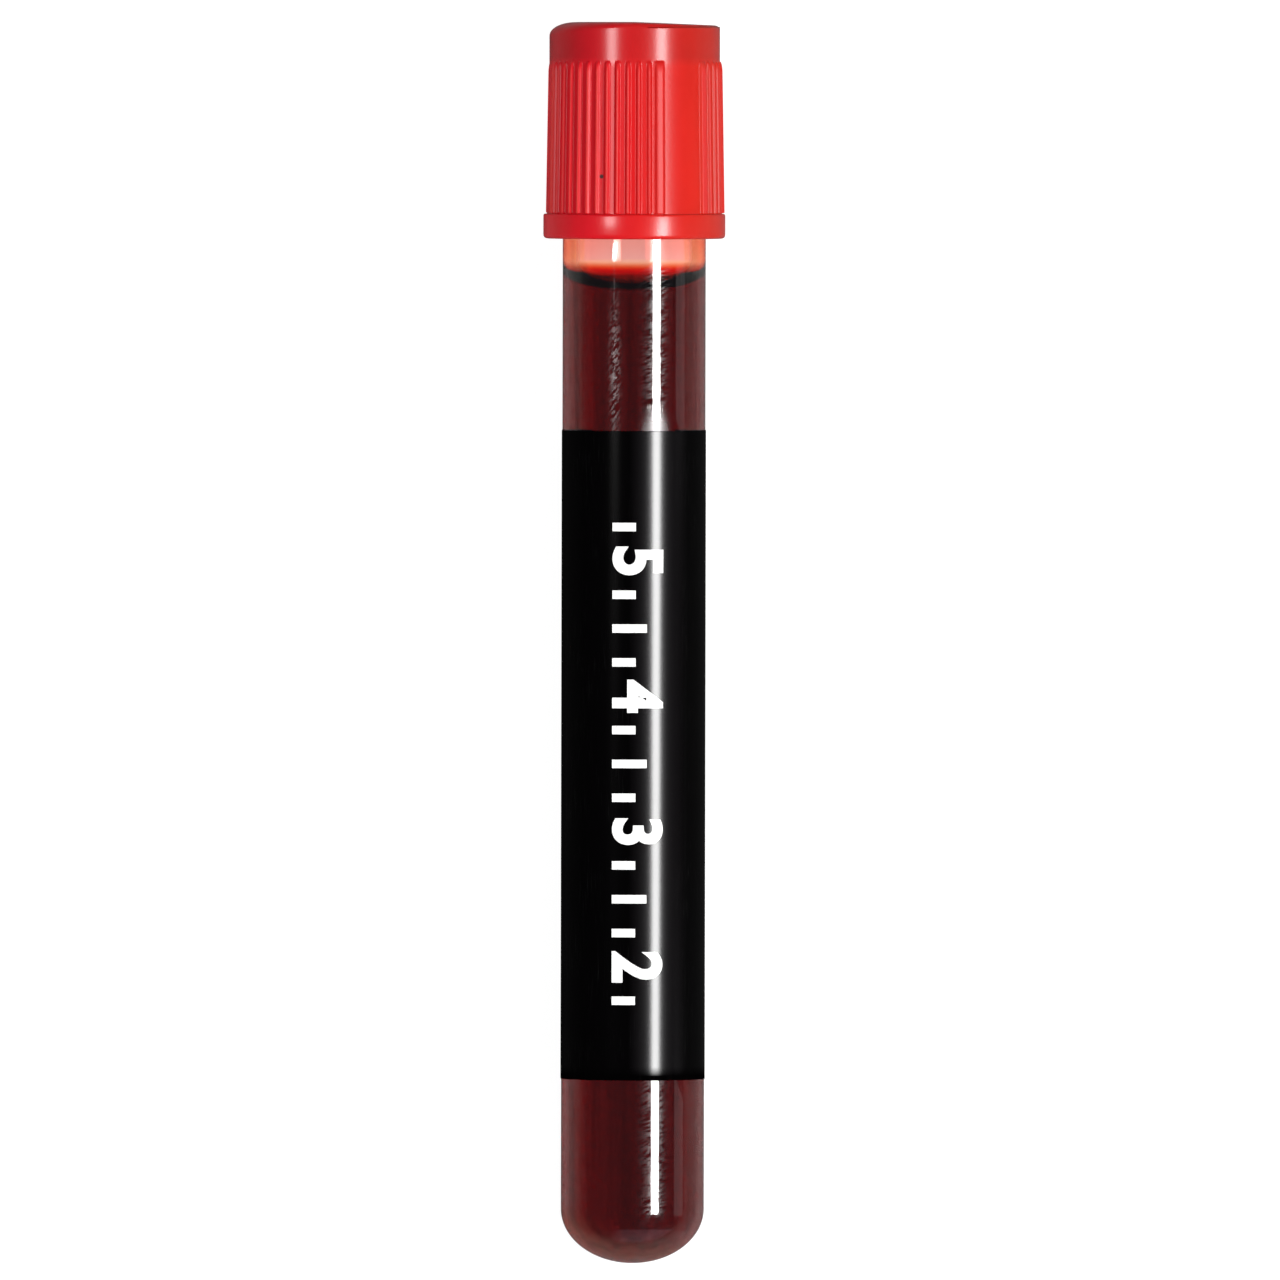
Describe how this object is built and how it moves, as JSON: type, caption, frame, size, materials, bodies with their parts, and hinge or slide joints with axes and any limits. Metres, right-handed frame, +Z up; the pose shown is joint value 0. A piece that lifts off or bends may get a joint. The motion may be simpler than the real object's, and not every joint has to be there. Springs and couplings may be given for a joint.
{
  "type": "blood collection tube",
  "caption": "Clear round-bottomed tube of dark blood with a black wrap-round label and a ribbed red cap that carries a rubber stopper.",
  "frame": {"origin": "on the surface that the tube lies on, under the middle of its bounding box", "axes": "+X along the tube towards the cap, +Z up out of the side that carries the label's scale, +Y to the left of someone who looks down with the cap away from them"},
  "size_m": [0.1102, 0.0162, 0.0162],
  "materials": {
    "clear_plastic": "clear, moulded",
    "red_plastic": "satin, moulded",
    "stopper_rubber": "matt",
    "black_film": "satin printed film",
    "dark_blood": "wet",
    "white_ink": "printed on the label"
  },
  "bodies": {
    "tube": {"tube": "clear_plastic", "label": "black_film", "blood": "dark_blood"},
    "closure": {"cap": "red_plastic", "stopper": "stopper_rubber"}
  },
  "joints": [
    {"name": "closure_pull", "type": "slide", "parent": "tube", "child": "closure", "axis": [0.9998, 0, 0.02], "range_m": [0, 0.02]}
  ]
}
